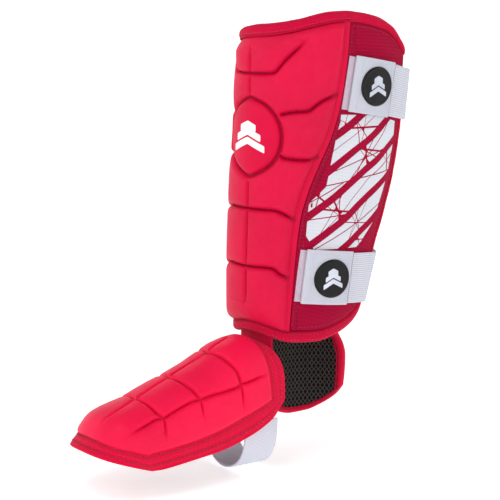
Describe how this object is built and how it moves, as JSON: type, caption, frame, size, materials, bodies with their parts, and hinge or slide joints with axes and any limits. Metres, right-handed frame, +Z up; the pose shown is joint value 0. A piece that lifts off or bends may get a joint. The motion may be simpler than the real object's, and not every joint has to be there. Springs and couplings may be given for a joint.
{
  "type": "leg guard",
  "caption": "Batter's leg guard: ribbed moulded shin shell, wrap-around mesh wings, elastic hook-tab straps, hinged foot guard with stirrup, ankle flap",
  "frame": {"origin": "on the leg's axis at the level of the shin guard's bottom edge", "axes": "+Z up the shin, -Y towards the toes and the front of the shin, +X towards the outer side of the left leg"},
  "size_m": [0.151, 0.3339, 0.4116],
  "materials": {
    "moulded_red": "satin, moulded foam skin with a fine leather-like grain",
    "plate": "matt sheet",
    "foam": "open matt foam",
    "black_mesh": "black spacer mesh with diamond holes",
    "red_binding": "padded knit binding",
    "printed_mesh": "crimson mesh with a white shattered print",
    "webbing_white": "white ribbed elastic and hook-and-loop tape",
    "badge_black": "satin moulded rubber",
    "flange_red": "stitched red fabric"
  },
  "bodies": {
    "shin_guard": {"shin_shell": "moulded_red", "shin_plate": "plate", "shin_foam": "foam", "shin_liner": "black_mesh", "emblem_disc": "moulded_red", "top_collar": "red_binding", "bottom_lip": "red_binding", "lateral_wing": "printed_mesh", "medial_wing": "printed_mesh", "lateral_edge_binding": "red_binding", "medial_edge_binding": "red_binding", "upper_loop_patch": "webbing_white", "upper_strap_anchor": "webbing_white", "lower_loop_patch": "webbing_white", "lower_strap_anchor": "webbing_white"},
    "foot_guard": {"foot_shell": "moulded_red", "foot_plate": "plate", "foot_foam": "foam", "foot_liner": "black_mesh", "foot_flange": "flange_red", "instep_tab": "black_mesh", "stirrup_anchor_lateral": "webbing_white", "stirrup_anchor_medial": "webbing_white"},
    "stirrup": {"stirrup_strap": "webbing_white"},
    "ankle_flap": {"ankle_flap_cover": "printed_mesh", "ankle_flap_foam": "foam", "ankle_flap_liner": "black_mesh", "ankle_flap_binding": "red_binding", "ankle_flap_web": "red_binding"},
    "upper_strap": {"upper_strap_elastic": "webbing_white"},
    "upper_tab": {"upper_hook_tab": "webbing_white", "upper_badge": "badge_black"},
    "lower_strap": {"lower_strap_elastic": "webbing_white"},
    "lower_tab": {"lower_hook_tab": "webbing_white", "lower_badge": "badge_black"}
  },
  "joints": [
    {"name": "foot_flex", "type": "hinge", "parent": "shin_guard", "child": "foot_guard", "pos_m": [-0.00696, -0.04951, 0.011], "axis": [0.9903, -0.1392, 0], "range_deg": [-15, 20]},
    {"name": "stirrup_swing", "type": "hinge", "parent": "foot_guard", "child": "stirrup", "pos_m": [-0.00939, -0.06684, -0.06], "axis": [0.9903, -0.1392, 0], "range_deg": [-25, 25]},
    {"name": "ankle_flap_swing", "type": "hinge", "parent": "shin_guard", "child": "ankle_flap", "pos_m": [-0.0555, 0.007, 0.0043], "axis": [0, 1, 0], "range_deg": [0, 60]},
    {"name": "upper_strap_swing", "type": "hinge", "parent": "shin_guard", "child": "upper_strap", "pos_m": [-0.04407, 0.0575, 0.2275], "axis": [0.1141, -0.0618, 0.9915], "range_deg": [0, 95]},
    {"name": "upper_tab_peel", "type": "hinge", "parent": "upper_strap", "child": "upper_tab", "pos_m": [0.07342, 0.04475, 0.23284], "axis": [0.078, 0.1128, 0.9906], "range_deg": [0, 90]},
    {"name": "lower_strap_swing", "type": "hinge", "parent": "shin_guard", "child": "lower_strap", "pos_m": [-0.0554, 0.0339, 0.0596], "axis": [-0.0058, 0.1509, 0.9885], "range_deg": [0, 95]},
    {"name": "lower_tab_peel", "type": "hinge", "parent": "lower_strap", "child": "lower_tab", "pos_m": [0.0565, 0.01079, 0.06332], "axis": [0.0914, 0.0793, 0.9927], "range_deg": [0, 90]}
  ]
}
